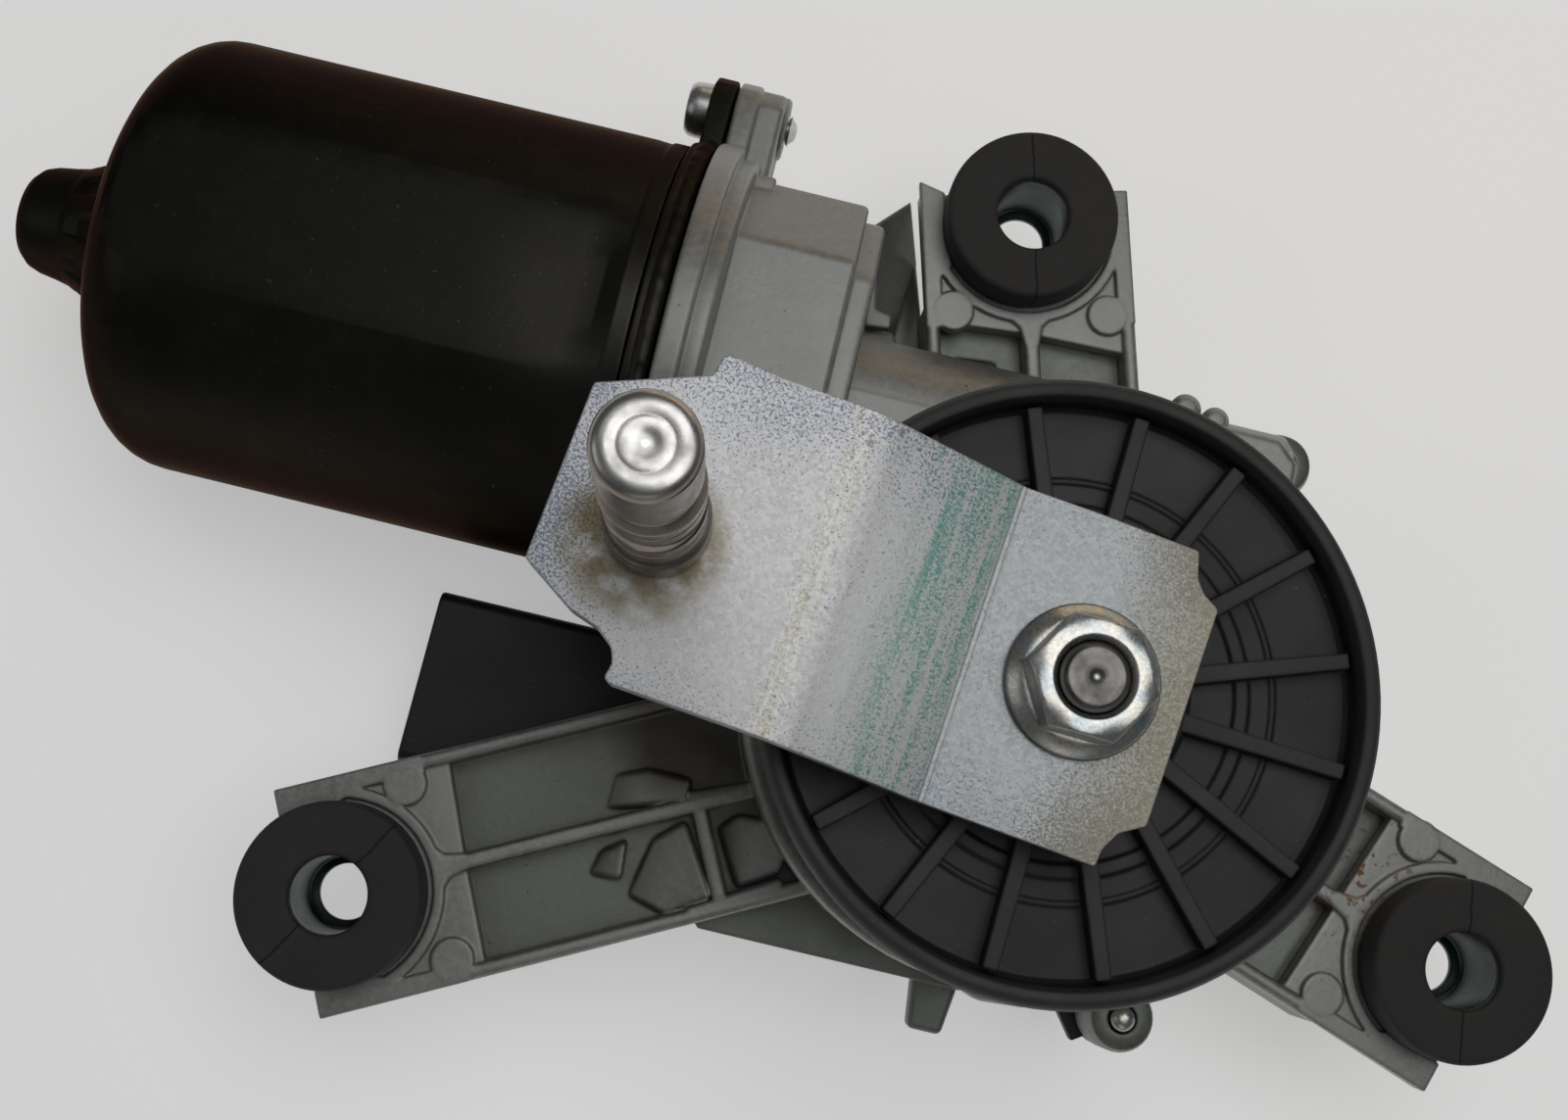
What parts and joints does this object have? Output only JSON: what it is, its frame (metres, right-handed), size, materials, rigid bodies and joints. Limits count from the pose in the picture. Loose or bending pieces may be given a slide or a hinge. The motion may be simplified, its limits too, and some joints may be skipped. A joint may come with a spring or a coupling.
{
  "type": "wiper gear motor",
  "caption": "Windshield wiper gear motor with a black can, ribbed alloy gear housing on rubber-bushed legs, plastic rain shield and a joggled crank arm with a long pin.",
  "frame": {"origin": "centre of the output shaft's flat end face", "axes": "+Z out along the output shaft towards the crank side; +X along the motor axis, away from the can"},
  "size_m": [0.2329, 0.1451, 0.1266],
  "materials": {
    "black_steel": "satin black paint on drawn steel",
    "cast_alloy": "as die cast, slightly mottled",
    "zinc_plate": "zinc plated, bright with a faint iridescent passivation",
    "steel": "turned bare steel",
    "black_plastic": "moulded, satin",
    "rubber": "matte moulded rubber",
    "nylon": "natural moulded nylon",
    "bronze": "sintered bronze",
    "copper": "enamelled copper",
    "ferrite": "sintered ferrite",
    "carbon": "pressed carbon",
    "phenolic": "laminated phenolic",
    "brass": "rolled brass"
  },
  "bodies": {
    "frame": {"motor_can": "black_steel", "can_flange": "black_steel", "can_bolt_1": "zinc_plate", "can_bolt_2": "zinc_plate", "magnet_upper": "ferrite", "magnet_lower": "ferrite", "brush_card": "phenolic", "brush_upper": "carbon", "brush_lower": "carbon", "brush_spring_upper": "steel", "brush_spring_lower": "steel", "rear_bush": "bronze", "front_bush": "bronze", "worm_bush": "bronze", "thrust_pad": "nylon", "gear_housing": "cast_alloy", "output_bush": "bronze", "shaft_seal": "rubber", "thrust_washer": "phenolic", "spring_washer": "steel", "rain_shield": "black_plastic", "grommet_1": "rubber", "grommet_2": "rubber", "grommet_3": "rubber", "sleeve_1": "zinc_plate", "sleeve_2": "zinc_plate", "sleeve_3": "zinc_plate", "gear_cover": "black_plastic", "cover_screw_1": "zinc_plate", "cover_screw_2": "zinc_plate", "cover_screw_3": "zinc_plate", "cover_screw_4": "zinc_plate", "cover_screw_5": "zinc_plate", "terminal_1": "brass", "terminal_2": "brass", "terminal_3": "brass", "terminal_4": "brass", "terminal_5": "brass", "contact_board": "phenolic", "park_finger_1": "brass", "park_finger_2": "brass", "park_finger_3": "brass"},
    "armature": {"armature_shaft": "steel", "armature_core": "steel", "winding_rear": "copper", "winding_front": "copper", "commutator": "copper"},
    "output": {"worm_wheel": "nylon", "output_shaft": "steel", "retaining_clip": "steel", "park_disc": "brass", "crank_arm": "zinc_plate", "crank_pin": "steel", "crank_nut": "zinc_plate"}
  },
  "joints": [
    {"name": "armature_spin", "type": "hinge", "parent": "frame", "child": "armature", "pos_m": [-0.05, 0.0368, -0.0557], "axis": [1, 0, 0], "continuous": true},
    {"name": "output_spin", "type": "hinge", "parent": "frame", "child": "output", "pos_m": [0, 0, 0], "axis": [0, 0, 1], "continuous": true}
  ],
  "couplings": [
    {"joint": "output_spin", "follows": "armature_spin", "ratio": 0.02}
  ]
}
